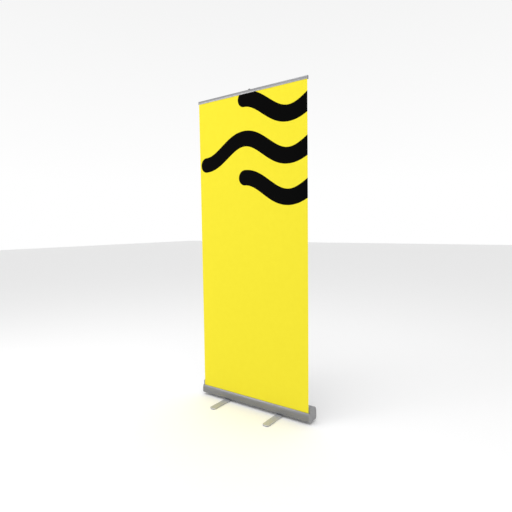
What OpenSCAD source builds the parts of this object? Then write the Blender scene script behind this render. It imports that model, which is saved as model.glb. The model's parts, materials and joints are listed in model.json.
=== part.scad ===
// Roll-up banner stand: a spring-roller housing on two swivel feet, a telescoping pole and a clamp rail.
// Millimetres. +X runs along the banner, -Y is the front, +Z is up, and the floor is at z = 0.
// Sections are drawn about the feet's pivot line, y = 0, and moved by pivot_y when a piece is placed.

/* [Banner film] */
// Width of the film
film_w = 850; // [700:5:850]
// Thickness of the film with its printed coat
film_t = 0.5; // [0.3:0.1:0.6]

/* [Housing] */
// Length of the housing extrusion, without its end caps
housing_l = 862; // [862:1:900]
// Thickness of each end cap outside the extrusion
cap_t = 6; // [5.5:0.5:8]
// Distance from the pivot line to the front face
front_d = 49; // [48:1:50]
// Distance from the pivot line to the rear face
rear_d = 42; // [41:1:46]
// Height of the housing's underside
floor_z = 13; // [10:0.5:13]
// Height of the front lip, where the film comes out
lip_z = 72; // [72:0.5:74]
// Height of the tall back part
roof_z = 104; // [103:0.5:110]
// Wall thickness of the extrusion
wall = 2; // [1.8:0.1:2.2]

/* [Roller] */
// Outer radius of the roller tube
roller_r = 15; // [14:0.5:15]
// Height of the roller's axis
roller_z = 40; // [39:0.5:42]
// Number of turns in the torsion spring
spring_turns = 30; // [10:1:40]

/* [Feet] */
// Distance of each foot's pivot from the middle
foot_x = 214; // [212:1:300]
// Width of a foot
foot_w = 48; // [36:1:52]
// Reach of a foot in front of its pivot
foot_front = 207; // [160:1:207]
// Reach of a foot behind its pivot
foot_back = 80; // [60:1:100]

/* [Pole and rail] */
// Height of the rail's lower edge
rail_z = 2067; // [1700:1:2200]
// Height of the rail
rail_h = 20; // [20:0.5:22]
// Length of the rail with its end caps
rail_l = 856; // [856:1:870]
// Length of tube that stays inside the section below
overlap = 50; // [40:1:80]

/* [Hidden] */
$fn = 64;

// Everything is moved so that the feet's front and rear tips lie equally far from y = 0.
pivot_y = (foot_front - foot_back) / 2;
eps = 0.05;                       // gap between faces that touch on the real object
fit = 0.2;                        // gap of a running fit

// Housing section: discs [y, z, radius] that the walls run round
corner_r = 8;
low_r = 14;                       // lower corners
step_drop = 12;                   // the step disc and the slot's cut start this far below the lip
shoulder_r = 38;
shoulder_z = roof_z - shoulder_r - 4;
brow_r = 50;                      // the front face bends back to the lip on this radius
brow_z = 47;
film_y = -38.5;                   // plane of the film
slot_w = 3;
film_clear = film_y + slot_w / 2; // rear side of the slot
back_face = film_clear + 1;       // front of the tall back part
front_corner = [-front_d + low_r, floor_z + low_r, low_r];
rear_corner = [rear_d - low_r, floor_z + low_r, low_r];
shoulder = [rear_d - shoulder_r, shoulder_z, shoulder_r];
crest = [back_face + corner_r, roof_z - corner_r, corner_r];
lip_r = 1.5;
lip = [film_y - slot_w / 2 - lip_r, lip_z - lip_r, lip_r];
brow = [-front_d + brow_r, brow_z, brow_r];
inner_y = -20;                    // inner end of the low front part, inside the tall part
back_discs = [[back_face + low_r, front_corner.y, low_r], rear_corner, shoulder, crest];
front_discs = [
    front_corner,
    [inner_y, front_corner.y, low_r],
    [inner_y, lip_z - step_drop, corner_r],
    lip,
    brow
];
throat_r = 4;                     // rounding of the hollow below the lip
throat_discs = [
    [front_corner.x, front_corner.y, low_r - wall],
    [inner_y, front_corner.y, low_r - wall],
    [inner_y, lip_z - 14, throat_r],
    [-front_d + wall + throat_r, lip_z - 10, throat_r]
];
port_r = 3.6;                     // screw ports inside three corners
screw_r = 1.5;
port_root = 0.6;                  // how far a port reaches into the wall
ports = [for (corner = [[front_corner, [-1, -1]], [rear_corner, [1, -1]], [crest, [-1, 1]]])
    let (disc = corner[0])
    [disc.x, disc.y] + corner[1] * (disc.z - wall - port_r + port_root) / sqrt(2)];
housing_end = housing_l / 2;
cap_grow = 0.6;                   // how far a cap stands proud of the extrusion
cap_step = 1.5;                   // depth of the cap's rounded rim, and its width
cap_rim = 4;                      // length of the rim inside the extrusion
head_sink = 3;                    // depth of the screws' counterbores
head_r = 3;

// Roller, along X
roller_y = -18;
tube_end = 424;
tube_wall = 1.3;
plug_r = roller_r - tube_wall - eps;
plug_l = 24;
flange_t = 2;
spindle_r = 5;
spindle_inner = 96;               // inner end of the fixed spindle
pin_r = 4;
bracket_t = 3;
shaft_out = 434;                  // outer end of the pin and the spindle, inside the end caps
wrap_r = 16.5;                    // radius of the wound leader
drive_x = 100;                    // inner face of the spring drive plug
anchor_x = 385;                   // inner face of the spring anchor
spring_r = 9.6;
wire_r = 1.1;

// Feet: blade on rubber pads, under a washer
pad_t = 2.5;
blade_t = 6;
blade_top = pad_t + blade_t;
nose_r = 18;
pad_l = 34;
bolt_r = 4;
bolt_head_r = 8;
bolt_head_z = 2.6;
bolt_head_t = 2.6;
plate_t = 3;
plate_z = floor_z + wall;
spring_washer_t = 1.2;
nut_t = 4;

// Pole sections
pole_y = -8;
pole_bottom = 68;
pole_end = rail_z + 13;
section_l = (pole_end - pole_bottom + 2 * overlap) / 3;
lower_end = pole_bottom + section_l;
middle_start = lower_end - overlap;
middle_end = middle_start + section_l;
top_start = middle_end - overlap;
tube_t = 1.2;
lower_r = 10;
middle_r = 8.5;
top_r = 7;
collar_below = 22;
collar_above = 16;
bush_t = 4;
socket_bore = lower_r + 0.25;
socket_r = 13;
socket_floor = 65;

// Rail section, heights above rail_z
rail_front = -37.9;               // front wall of the back profile
rail_rear = -28.5;
rail_wall = 1.5;
rail_corner = 1.2;
jaw_relief = 2.2;                 // larger corner that the opening jaw turns over
bead = [-36.2, rail_z + 16.4];    // hinge axis of the jaw
bead_r = 2;
neck_half = 0.7;
neck_swing = [-25, 20, 65];       // directions of the neck's clearance, upwards from the front
strip_z = 2.5;                    // grip strip: lower edge, height and depth of its recess
strip_h = 8;
strip_deep = 0.8;
hollow_top = 12;                  // upper end of the hollow below the groove
hollow_corner = 0.6;
cap_plug_l = 8;
jaw_inner = -39.1;
jaw_t = 2.4;                      // thickness at the middle of the jaw's bulge
jaw_bulge_r = 30;
rail_cap_t = 2;
finger_front = -27.4;
finger_t = 3.8;
finger_ease = 1.5;                // rounding of the finger's upper corners
film_end = 28;                    // lower edge of the film, inside the housing
finger_top = rail_z + 29;
arm_top = rail_z + 8;
catch_z = arm_top + 0.4;          // the catch's lower face, just above the hook's arm
catch_h = 11;
rivet_x = 15.5;
rivet_r = 1.6;

// Angle of the outward normal of the straight that joins two discs
function normal_angle(a, b) =
    let (
        run = [b.x - a.x, b.y - a.y],
        length = norm(run),
        lean = (a.z - b.z) / length,
        n = run / length * lean + [run.y, -run.x] / length * sqrt(1 - lean * lean)
    )
    atan2(n.y, n.x);

// Closed outline round discs that are given anticlockwise
function belt(discs, grow = 0, steps = 8) = [
    for (i = [0 : len(discs) - 1])
        let (
            d = discs[i],
            before = discs[(i + len(discs) - 1) % len(discs)],
            after = discs[(i + 1) % len(discs)],
            start = normal_angle(before, d),
            turn = (normal_angle(d, after) - start + 720) % 360
        )
        for (k = [0 : steps])
            let (angle = start + turn * k / steps)
            [d.x, d.y] + (d.z + grow) * [cos(angle), sin(angle)]
];

roof_tilt = 90 - normal_angle(shoulder, crest);
roof_at_pole = crest.y + (crest.z - (pole_y - crest.x) * sin(roof_tilt)) / cos(roof_tilt);

// Places a piece that is drawn about the pivot line
module placed() translate([0, pivot_y, 0]) children();

// Carries a section in y and z along X, from one x to another
module along_x(from, to)
    translate([from, 0, 0])
        rotate([90, 0, 90])
            linear_extrude(to - from)
                children();

// A rod along X on the roller's axis
module rod_x(from, to, r)
    translate([from, roller_y, roller_z])
        rotate([0, 90, 0])
            cylinder(h = to - from, r = r);

// A ring along Z on the pole's axis
module ring_z(from, to, outer, inner)
    translate([0, pole_y, from])
        difference() {
            cylinder(h = to - from, r = outer);
            translate([0, 0, -1])
                cylinder(h = to - from + 2, r = inner);
        }

// Copies a piece to both feet's pivots
module each_pivot() for (x = [-foot_x, foot_x]) translate([x, 0, 0]) children();

// ---- Base -------------------------------------------------------------------------------------

module housing_outline(grow) {
    polygon(belt(back_discs, grow));
    polygon(belt(front_discs, grow));
}

// The front room of the hollow is trimmed by the brow's inner side, above the brow's middle
module housing_hollow(grow) {
    polygon(belt(back_discs, grow - wall));
    intersection() {
        polygon(belt(throat_discs, grow));
        union() {
            translate([brow.x, brow.y])
                circle(r = brow_r - wall + grow);
            translate([-front_d, 0])
                square([front_d, brow_z]);
        }
    }
}

module housing()
    color("darkgray")
        placed()
            difference() {
                along_x(-housing_end, housing_end) {
                    difference() {
                        housing_outline(0);
                        housing_hollow(0);
                        translate([film_y - slot_w / 2, lip_z - step_drop])
                            square([slot_w, 20]);
                    }
                    for (p = ports)
                        translate(p)
                            difference() {
                                circle(r = port_r);
                                circle(r = screw_r + 0.1);
                            }
                }
                each_pivot()
                    translate([0, 0, floor_z - 1])
                        cylinder(h = wall + 2, r = bolt_r + fit);
                translate([0, pole_y, roof_at_pole - 15])
                    cylinder(h = 30, r = socket_r + fit);
            }

// An end cap at the +X end: outer plate in two steps, a rim inside the extrusion, seats and screw holes
module end_cap(seat_r)
    placed()
        difference() {
            union() {
                along_x(housing_end + eps, housing_end + cap_t - cap_step)
                    housing_outline(cap_grow);
                along_x(housing_end + cap_t - cap_step - 0.1, housing_end + cap_t)
                    housing_outline(cap_grow - cap_step);
                along_x(housing_end - cap_rim, housing_end + 1)
                    difference() {
                        housing_hollow(-fit);
                        housing_hollow(-wall);
                        translate([film_y - 6, lip_z - 24])
                            square([12, 30]);
                        for (p = ports)
                            translate(p)
                                circle(r = port_r + 0.6);
                    }
            }
            rod_x(housing_end - 1, shaft_out + 0.5, seat_r);
            for (p = ports) {
                translate([housing_end - 1, p.x, p.y])
                    rotate([0, 90, 0])
                        cylinder(h = cap_t + 2, r = screw_r + 0.1);
                translate([housing_end + cap_t - head_sink, p.x, p.y])
                    rotate([0, 90, 0])
                        cylinder(h = head_sink + 1, r = head_r + 0.3);
            }
        }

module end_cap_left() color("gray") mirror([1, 0, 0]) end_cap(pin_r + 0.5);
module end_cap_right() color("gray") end_cap(spindle_r + 0.5);

module cap_screw()
    rotate([0, 90, 0])
        difference() {
            union() {
                translate([0, 0, -14])
                    cylinder(h = 14, r = screw_r);
                cylinder(h = 2.2, r = head_r);
            }
            translate([0, 0, 0.8])
                cylinder(h = 2, r = 1.3, $fn = 6);
        }

module end_cap_screws()
    color("dimgray")
        placed()
            for (side = [0, 1], p = ports)
                mirror([side, 0, 0])
                    translate([housing_end + cap_t - head_sink + eps, p.x, p.y])
                        cap_screw();

module pole_socket()
    color("dimgray")
        placed()
            difference() {
                union() {
                    translate([0, pole_y, socket_floor - 2.5])
                        cylinder(h = roof_at_pole + 4 - socket_floor + 2.5, r = socket_r);
                    translate([0, pole_y, roof_at_pole + eps])
                        rotate([-roof_tilt, 0, 0])
                            cylinder(h = 2, r = socket_r + 5);
                }
                translate([0, pole_y, socket_floor])
                    cylinder(h = 60, r = socket_bore);
            }

// Steel plate on the housing floor that spreads a foot's load
module foot_plate()
    difference() {
        translate([-35, -26, plate_z + eps])
            cube([70, 54, plate_t - eps]);
        translate([0, 0, plate_z - 1])
            cylinder(h = plate_t + 2, r = bolt_r + fit);
    }

module foot_plate_left() color("silver") placed() translate([-foot_x, 0, 0]) foot_plate();
module foot_plate_right() color("silver") placed() translate([foot_x, 0, 0]) foot_plate();

module pivot_bolts()
    color("dimgray")
        placed()
            each_pivot()
                difference() {
                    union() {
                        translate([0, 0, bolt_head_z])
                            cylinder(h = bolt_head_t, r = bolt_head_r);
                        translate([0, 0, bolt_head_z + bolt_head_t - 0.1])
                            cylinder(h = plate_z + plate_t + 6 - bolt_head_z - bolt_head_t, r = bolt_r);
                    }
                    translate([0, 0, bolt_head_z - 1])
                        cylinder(h = 2.6, r = 2.9, $fn = 6);
                }

module pivot_ring(from, thickness, outer)
    placed()
        each_pivot()
            translate([0, 0, from])
                difference() {
                    cylinder(h = thickness, r = outer);
                    translate([0, 0, -1])
                        cylinder(h = thickness + 2, r = bolt_r + eps);
                }

module pivot_washers() color("white") pivot_ring(blade_top + 0.1, floor_z - blade_top - 0.15, 14);
module pivot_spring_washers() color("silver") pivot_ring(plate_z + plate_t + eps, spring_washer_t - eps, 7);
module pivot_nuts()
    color("silver")
        placed()
            each_pivot()
                translate([0, 0, plate_z + plate_t + spring_washer_t + eps])
                    difference() {
                        cylinder(h = nut_t, r = 7, $fn = 6);
                        translate([0, 0, -1])
                            cylinder(h = nut_t + 2, r = bolt_r + eps);
                    }

// Bracket plate inside the +X end cap, round the roller's axis
module bracket_plate(hole_r)
    difference() {
        along_x(housing_end - bracket_t, housing_end)
            polygon(belt([for (c = [[-1, -1], [1, -1], [1, 1], [-1, 1]])
                [roller_y + 4 + 17 * c.x, roller_z + 17 * c.y, 4]]));
        rod_x(housing_end - bracket_t - 1, housing_end + 1, hole_r);
    }

module idler_bracket() color("silver") placed() mirror([1, 0, 0]) bracket_plate(pin_r + fit);

// The spindle and its hole share two flats, so that the spindle can't turn
module spindle_flats(r, half)
    translate([housing_end - bracket_t - 0.5, roller_y - r - 1, roller_z - half])
        cube([10, 2 * r + 2, 2 * half]);

module spindle_bracket()
    color("silver")
        placed()
            difference() {
                bracket_plate(0.5);
                intersection() {
                    rod_x(housing_end - bracket_t - 1, housing_end + 1, spindle_r + eps);
                    spindle_flats(spindle_r, 3.6);
                }
            }

module spindle()
    color("lightsteelblue")
        placed()
            union() {
                rod_x(spindle_inner, housing_end - bracket_t - 0.6, spindle_r);
                intersection() {
                    rod_x(housing_end - bracket_t - 1, shaft_out, spindle_r);
                    spindle_flats(spindle_r, 3.5);
                }
            }

module spring_anchor()
    color("dimgray")
        placed()
            difference() {
                rod_x(anchor_x, anchor_x + 11, spring_r + 1.5);
                rod_x(anchor_x - 1, anchor_x + 12, spindle_r + eps);
            }

// Torsion spring: a round wire carried along a helix about the spindle
module roller_spring() {
    wire_sides = 6;
    ring_steps = 10;
    rings = spring_turns * ring_steps;
    start = drive_x + plug_l + wire_r + eps;
    length = anchor_x - start - wire_r - eps;
    points = [
        for (i = [0 : rings], k = [0 : wire_sides - 1])
            let (
                turn = 360 * i / ring_steps,
                around = 360 * k / wire_sides,
                r = spring_r + wire_r * cos(around)
            )
            [start + length * i / rings + wire_r * sin(around), r * cos(turn), r * sin(turn)]
    ];
    walls = [
        for (i = [0 : rings - 1], k = [0 : wire_sides - 1])
            let (a = i * wire_sides + k, b = i * wire_sides + (k + 1) % wire_sides)
            [a, b, b + wire_sides, a + wire_sides]
    ];
    first = [for (k = [wire_sides - 1 : -1 : 0]) k];
    last = [for (k = [0 : wire_sides - 1]) rings * wire_sides + k];
    color("slategray")
        placed()
            translate([0, roller_y, roller_z])
                polyhedron(points, concat([first, last], walls));
}

// ---- Roller -----------------------------------------------------------------------------------

module roller_tube()
    color("lightgray")
        placed()
            difference() {
                rod_x(-tube_end, tube_end, roller_r);
                rod_x(-tube_end - 1, tube_end + 1, roller_r - tube_wall);
            }

// A plug at the tube's +X end, with a flange against the tube
module tube_plug(bore_r)
    difference() {
        union() {
            rod_x(tube_end - plug_l, tube_end + 1, plug_r);
            rod_x(tube_end + eps, tube_end + flange_t, roller_r);
        }
        rod_x(tube_end - plug_l - 1, tube_end + flange_t + 1, bore_r);
    }

module idler_plug() color("dimgray") placed() mirror([1, 0, 0]) tube_plug(pin_r + eps);
module idler_pin() color("silver") placed() rod_x(-shaft_out, -tube_end + plug_l - 4, pin_r);
module bearing_plug() color("dimgray") placed() tube_plug(spindle_r + fit);

module spring_drive_plug()
    color("dimgray")
        placed()
            difference() {
                rod_x(drive_x, drive_x + plug_l, plug_r);
                rod_x(drive_x - 1, drive_x + plug_l + 1, spindle_r + fit);
            }

module film_wrap()
    color("white")
        placed()
            difference() {
                rod_x(-film_w / 2, film_w / 2, wrap_r);
                rod_x(-film_w / 2 - 1, film_w / 2 + 1, roller_r + eps);
            }

// ---- Feet -------------------------------------------------------------------------------------

// Plan of a foot, or of one end of it
module foot_plan(grow)
    polygon(belt([
        [-foot_w / 2 + nose_r, -foot_front + nose_r, nose_r],
        [foot_w / 2 - nose_r, -foot_front + nose_r, nose_r],
        [foot_w / 2 - nose_r, foot_back - nose_r, nose_r],
        [-foot_w / 2 + nose_r, foot_back - nose_r, nose_r]
    ], grow));

// Blade: the plan's extrusion cut by a section with fully rounded long edges
module foot_blade()
    difference() {
        intersection() {
            linear_extrude(blade_top + 1)
                foot_plan(0);
            translate([0, foot_back + 1, 0])
                rotate([90, 0, 0])
                    linear_extrude(foot_front + foot_back + 2)
                        polygon(belt([for (side = [-1, 1])
                            [side * (foot_w / 2 - blade_t / 2), pad_t + blade_t / 2, blade_t / 2]]));
        }
        translate([0, 0, -1])
            cylinder(h = blade_top + 3, r = bolt_r + fit);
        translate([0, 0, -1])
            cylinder(h = bolt_head_z + bolt_head_t + 1.2, r = bolt_head_r + 0.6);
    }

// Rubber pads glued under both ends of a foot
module foot_pads()
    for (end = [-foot_front, foot_back - pad_l])
        intersection() {
            linear_extrude(pad_t - eps)
                foot_plan(-2.2);
            translate([-foot_w / 2, end, -1])
                cube([foot_w, pad_l, pad_t + 2]);
        }

module foot_left() color("silver") placed() translate([-foot_x, 0, 0]) foot_blade();
module foot_right() color("silver") placed() translate([foot_x, 0, 0]) foot_blade();
module foot_left_pads() color("black") placed() translate([-foot_x, 0, 0]) foot_pads();
module foot_right_pads() color("black") placed() translate([foot_x, 0, 0]) foot_pads();

// ---- Pole -------------------------------------------------------------------------------------

module pole_tube(from, to, r) color("silver") placed() ring_z(from, to, r, r - tube_t);

module pole_lower_tube() pole_tube(pole_bottom, lower_end, lower_r);
module pole_middle_tube() pole_tube(middle_start, middle_end, middle_r);
module pole_top_tube() pole_tube(top_start, pole_end, top_r);

module pole_base_plug()
    color("dimgray")
        placed()
            translate([0, pole_y, 0]) {
                translate([0, 0, pole_bottom - 2.5])
                    cylinder(h = 2.5 - eps, r = lower_r);
                translate([0, 0, pole_bottom - 0.1])
                    cylinder(h = 15, r = lower_r - tube_t - eps);
            }

// Guide bush under a tube's lower end: a running flange and a spigot inside the tube
module guide_bush(tube_z, outer_tube, inner_tube) {
    flange_r = outer_tube - tube_t - 0.1;
    spigot_r = inner_tube - tube_t - eps;
    bore_r = spigot_r - 1.5;
    color("white")
        placed()
            union() {
                ring_z(tube_z - bush_t, tube_z - eps, flange_r, bore_r);
                ring_z(tube_z - 1, tube_z + 12, spigot_r, bore_r);
            }
}

module middle_bush() guide_bush(middle_start, lower_r, middle_r);
module top_bush() guide_bush(top_start, middle_r, top_r);

// Split ring that the collar squeezes onto the inner tube
module collet(tube_z, outer, inner)
    placed()
        difference() {
            ring_z(tube_z + eps, tube_z + 11, outer - 0.2, inner + 0.1);
            for (turn = [0, 90])
                translate([0, pole_y, tube_z + 8])
                    rotate([0, 0, turn])
                        cube([2 * outer, 1.2, 10], center = true);
        }

module lower_collet() color("white") collet(lower_end, lower_r, middle_r);
module upper_collet() color("white") collet(middle_end, middle_r, top_r);

// Twist-lock collar: a bored sleeve with grip ribs all round
module lock_collar(tube_z, outer_tube, inner_tube) {
    body_r = outer_tube + 3;
    ribs = 16;
    placed()
        translate([0, pole_y, tube_z])
            difference() {
                union() {
                    translate([0, 0, -collar_below])
                        cylinder(h = collar_below + collar_above - 5, r = body_r);
                    translate([0, 0, collar_above - 5.1])
                        cylinder(h = 5.1, r1 = body_r, r2 = body_r - 2);
                    for (i = [0 : ribs - 1])
                        rotate([0, 0, 360 * i / ribs])
                            translate([body_r, 0, 4 - collar_below])
                                cylinder(h = collar_below + 2, r = 0.9);
                }
                translate([0, 0, -collar_below - 1])
                    cylinder(h = collar_below + 13, r = outer_tube + 0.15);
                cylinder(h = collar_above + 1, r = inner_tube + 0.3);
            }
}

module lower_lock_collar() color("dimgray") lock_collar(lower_end, lower_r, middle_r);
module upper_lock_collar() color("dimgray") lock_collar(middle_end, middle_r, top_r);

// Hook on the pole's end: a sleeve, an arm to the front and a finger that the rail's catch drops over
module pole_hook() {
    sleeve_r = top_r + 2.5;
    arm_y = finger_front;
    color("dimgray")
        placed()
            difference() {
                union() {
                    translate([0, pole_y, rail_z - 12])
                        cylinder(h = pole_end + 4 - rail_z + 12, r = sleeve_r);
                    translate([-9, arm_y, arm_top - 7])
                        cube([18, pole_y - arm_y, 7]);
                    translate([-7, arm_y, arm_top - 7])
                        cube([14, finger_t, finger_top - finger_ease - arm_top + 7]);
                    translate([0, arm_y + finger_t, finger_top - finger_ease])
                        rotate([90, 0, 0])
                            linear_extrude(finger_t)
                                polygon(belt([for (side = [-1, 1])
                                    [side * (7 - finger_ease), 0, finger_ease]]));
                    translate([-1.5, 0, 0])
                        along_x(0, 3)
                            polygon([[pole_y - 9, arm_top - 18], [pole_y - 9, arm_top - 6],
                                [arm_y + 3, arm_top - 6]]);
                }
                translate([0, pole_y, rail_z - 13])
                    cylinder(h = pole_end - rail_z + 13 + eps, r = top_r + eps);
                translate([0, pole_y + top_r - 1, rail_z - 3])
                    rotate([-90, 0, 0])
                        cylinder(h = 6, r = screw_r + 0.1);
            }
}

module hook_screw()
    color("silver")
        placed()
            translate([0, pole_y + sqrt(pow(top_r + 2.5, 2) - 9) + 0.1, rail_z - 3])
                rotate([-90, 0, 0])
                    difference() {
                        union() {
                            translate([0, 0, -1.9])
                                cylinder(h = 2.4, r = screw_r);
                            translate([0, 0, 0.4])
                                cylinder(h = 1.6, r = 2.6);
                        }
                        translate([0, 0, 1.1])
                            cylinder(h = 2, r = 1.2, $fn = 6);
                    }

// ---- Rail -------------------------------------------------------------------------------------

// Rounded box in section; the top front corner has a radius of its own
module rail_outline(front, rear, low, high, r, top_front)
    polygon(belt([
        [front + r, low + r, r],
        [rear - r, low + r, r],
        [rear - r, high - r, r],
        [front + top_front, high - top_front, top_front]
    ], 0, 4));

// The hollow of the back profile, or the plug that fits it with a gap
module rail_hollow(gap)
    rail_outline(
        rail_front + rail_wall + strip_deep + gap, rail_rear - rail_wall - gap,
        rail_z + rail_wall + gap, rail_z + hollow_top - gap, hollow_corner, hollow_corner);

// Back profile: hollow below, with a round groove above for the jaw's bead
module rail_back_section()
    difference() {
        rail_outline(rail_front, rail_rear, rail_z, rail_z + rail_h, rail_corner, jaw_relief);
        rail_hollow(0);
        translate(bead)
            circle(r = bead_r + 0.3);
        // room for the jaw's neck to swing
        translate(bead)
            polygon(concat([[0, 0]], [for (a = neck_swing) 3 * bead_r * [-cos(a), sin(a)]]));
        translate([rail_front - 1, rail_z + strip_z])
            square([1 + strip_deep, strip_h]);
    }

module rail_back()
    color("silver")
        placed()
            along_x(-rail_l / 2 + rail_cap_t + eps, rail_l / 2 - rail_cap_t - eps)
                rail_back_section();

// Jaw: one outline of a bulged outer face, a flat inner face, a neck and the hinge bead
module rail_jaw() {
    mid_z = rail_z + rail_h / 2;
    half = asin(rail_h / 2 / jaw_bulge_r);
    bulge = [jaw_inner - jaw_t + jaw_bulge_r, mid_z];
    root = 180 - asin(neck_half / bead_r);
    outer_face = [for (k = [-8 : 8]) bulge + jaw_bulge_r * [-cos(half * k / 8), sin(half * k / 8)]];
    bead_arc = [for (k = [0 : 16]) let (a = root * (1 - k / 8)) bead + bead_r * [cos(a), sin(a)]];
    color("lightgray")
        placed()
            along_x(-rail_l / 2 + rail_cap_t + 0.5, rail_l / 2 - rail_cap_t - 0.5)
                polygon(concat(
                    outer_face,
                    [[jaw_inner, mid_z + rail_h / 2], [jaw_inner, bead.y + neck_half]],
                    bead_arc,
                    [[jaw_inner, bead.y - neck_half], [jaw_inner, mid_z - rail_h / 2]]
                ));
}

module rail_grip_strip()
    color("black")
        placed()
            along_x(-rail_l / 2 + rail_cap_t + 1, rail_l / 2 - rail_cap_t - 1)
                translate([rail_front - 0.15, rail_z + strip_z + eps])
                    square([strip_deep + 0.1, strip_h - 2 * eps]);

// End cap at the +X end of the rail, with a plug inside the hollow
module rail_cap()
    placed()
        union() {
            along_x(rail_l / 2 - rail_cap_t, rail_l / 2)
                rail_outline(
                    jaw_inner - jaw_t, rail_rear, rail_z, rail_z + rail_h, rail_corner, rail_corner);
            along_x(rail_l / 2 - rail_cap_t - cap_plug_l, rail_l / 2 - rail_cap_t + 0.1)
                rail_hollow(0.1);
        }

module rail_cap_right() color("dimgray") rail_cap();
module rail_cap_left() color("dimgray") mirror([1, 0, 0]) rail_cap();

// Catch on the rail's back: a loop round the hook's finger, with an ear on each side
module rail_catch() {
    loop_rear = finger_front + finger_t + 0.5;
    color("dimgray")
        placed()
            difference() {
                union() {
                    translate([-10.5, rail_rear + eps, catch_z])
                        cube([21, loop_rear + 2.5 - rail_rear - eps, catch_h]);
                    translate([-20, rail_rear + eps, catch_z])
                        cube([40, 2, catch_h]);
                }
                translate([-7.6, rail_rear - 1, catch_z - 1])
                    cube([15.2, loop_rear - rail_rear + 1, catch_h + 2]);
                for (x = [-rivet_x, rivet_x])
                    translate([x, rail_rear - 1, catch_z + catch_h / 2])
                        rotate([-90, 0, 0])
                            cylinder(h = 5, r = rivet_r + eps);
            }
}

module rail_catch_rivets()
    color("silver")
        placed()
            for (x = [-rivet_x, rivet_x])
                translate([x, rail_rear + eps, catch_z + catch_h / 2])
                    rotate([-90, 0, 0]) {
                        cylinder(h = 2.1, r = rivet_r);
                        translate([0, 0, 2 + eps])
                            cylinder(h = 1, r = 2.8);
                    }

module banner()
    color("gold")
        placed()
            translate([-film_w / 2, film_y - film_t / 2, film_end])
                cube([film_w, film_t, rail_z + 13 - film_end]);

housing();
end_cap_left();
end_cap_right();
end_cap_screws();
pole_socket();
foot_plate_left();
foot_plate_right();
pivot_bolts();
pivot_washers();
pivot_spring_washers();
pivot_nuts();
idler_bracket();
spindle_bracket();
spindle();
spring_anchor();
roller_spring();
roller_tube();
idler_plug();
idler_pin();
bearing_plug();
spring_drive_plug();
film_wrap();
foot_left();
foot_left_pads();
foot_right();
foot_right_pads();
pole_lower_tube();
pole_base_plug();
lower_collet();
lower_lock_collar();
pole_middle_tube();
middle_bush();
upper_collet();
upper_lock_collar();
pole_top_tube();
top_bush();
pole_hook();
hook_screw();
rail_back();
rail_jaw();
rail_grip_strip();
rail_cap_left();
rail_cap_right();
rail_catch();
rail_catch_rivets();
banner();
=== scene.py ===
# %% [markdown]
# # A roll-up banner stand
# The stand is a floor housing with a spring roller inside, two swivel feet, a telescoping pole and a rail
# that clamps the top of a printed film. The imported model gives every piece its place, size and motion.
# This script dresses it: the parts that are seen get fine, rounded surfaces and worked finishes. The file
# is read from top to bottom, one step at a time.

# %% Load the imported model
import json
import math

import bmesh
import bpy
import numpy as np
from mathutils import Matrix, Vector


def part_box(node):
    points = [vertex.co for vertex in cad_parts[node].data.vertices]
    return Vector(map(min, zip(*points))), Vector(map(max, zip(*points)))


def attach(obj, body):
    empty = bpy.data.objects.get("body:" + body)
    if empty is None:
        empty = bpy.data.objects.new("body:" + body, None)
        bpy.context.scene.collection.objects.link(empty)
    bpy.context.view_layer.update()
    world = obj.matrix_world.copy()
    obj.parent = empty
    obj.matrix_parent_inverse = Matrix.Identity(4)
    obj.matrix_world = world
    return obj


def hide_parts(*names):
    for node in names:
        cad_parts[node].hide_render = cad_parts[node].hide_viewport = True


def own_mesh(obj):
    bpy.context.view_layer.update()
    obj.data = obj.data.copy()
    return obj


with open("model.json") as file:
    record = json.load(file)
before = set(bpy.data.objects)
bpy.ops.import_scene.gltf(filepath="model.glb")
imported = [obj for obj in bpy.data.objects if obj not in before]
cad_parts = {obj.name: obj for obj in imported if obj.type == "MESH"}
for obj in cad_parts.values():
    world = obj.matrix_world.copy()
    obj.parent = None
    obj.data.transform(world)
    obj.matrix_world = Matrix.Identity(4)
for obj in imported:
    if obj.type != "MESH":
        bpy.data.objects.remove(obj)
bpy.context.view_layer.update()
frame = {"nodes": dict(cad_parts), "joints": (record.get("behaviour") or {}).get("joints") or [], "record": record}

MM = 0.001
joints = {j["name"]: j for j in frame["joints"]}
pivot_y = joints["foot_left_swivel"]["pos_m"][1]

# %% [markdown]
# ## Camera
# The stand is seen from its right and a little above its middle, so that the film leans away to the left in
# strong perspective. The camera's axes are worked out from a turn, a tilt and a slight roll, and become the
# columns of its matrix: right, up and back.

# %% Camera
camera_place = Vector((1.600, -2.161, 1.218))
turn, tilt, roll = (math.radians(a) for a in (35.42, 4.08, -0.725))
ahead = Vector((-math.sin(turn) * math.cos(tilt), math.cos(turn) * math.cos(tilt), -math.sin(tilt)))
right = Vector((math.cos(turn), math.sin(turn), 0))
up = right.cross(ahead)
right_rolled = math.cos(roll) * right + math.sin(roll) * up
up_rolled = math.cos(roll) * up - math.sin(roll) * right
camera = bpy.data.objects.new("camera", bpy.data.cameras.new("camera"))
camera.data.lens = 29.14
camera.data.sensor_width = 36
camera.matrix_world = Matrix.Translation(camera_place) @ Matrix(
    (right_rolled, up_rolled, -ahead)).transposed().to_4x4()
bpy.context.scene.collection.objects.link(camera)
bpy.context.scene.camera = camera
print("camera looks along", [round(v, 3) for v in ahead])

# %% [markdown]
# ## Surfaces from rings
# Nearly every part of the stand is a drawn or moulded shape: an outline carried along a line, or a
# profile turned about an axis. Both are a stack of closed rings with the same number of points, so one
# function skins them all. It also writes down how sharply the skin turns at each point, because handling
# first wears the tight edges.

# %% Outlines
def arc(centre, radius, start, stop, steps=16):
    """Points on a circle: the centre plus the radius times the cosine and sine of evenly spaced degrees."""
    a = np.radians(np.linspace(start, stop, steps + 1))
    return np.asarray(centre) + radius * np.column_stack([np.cos(a), np.sin(a)])


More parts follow.
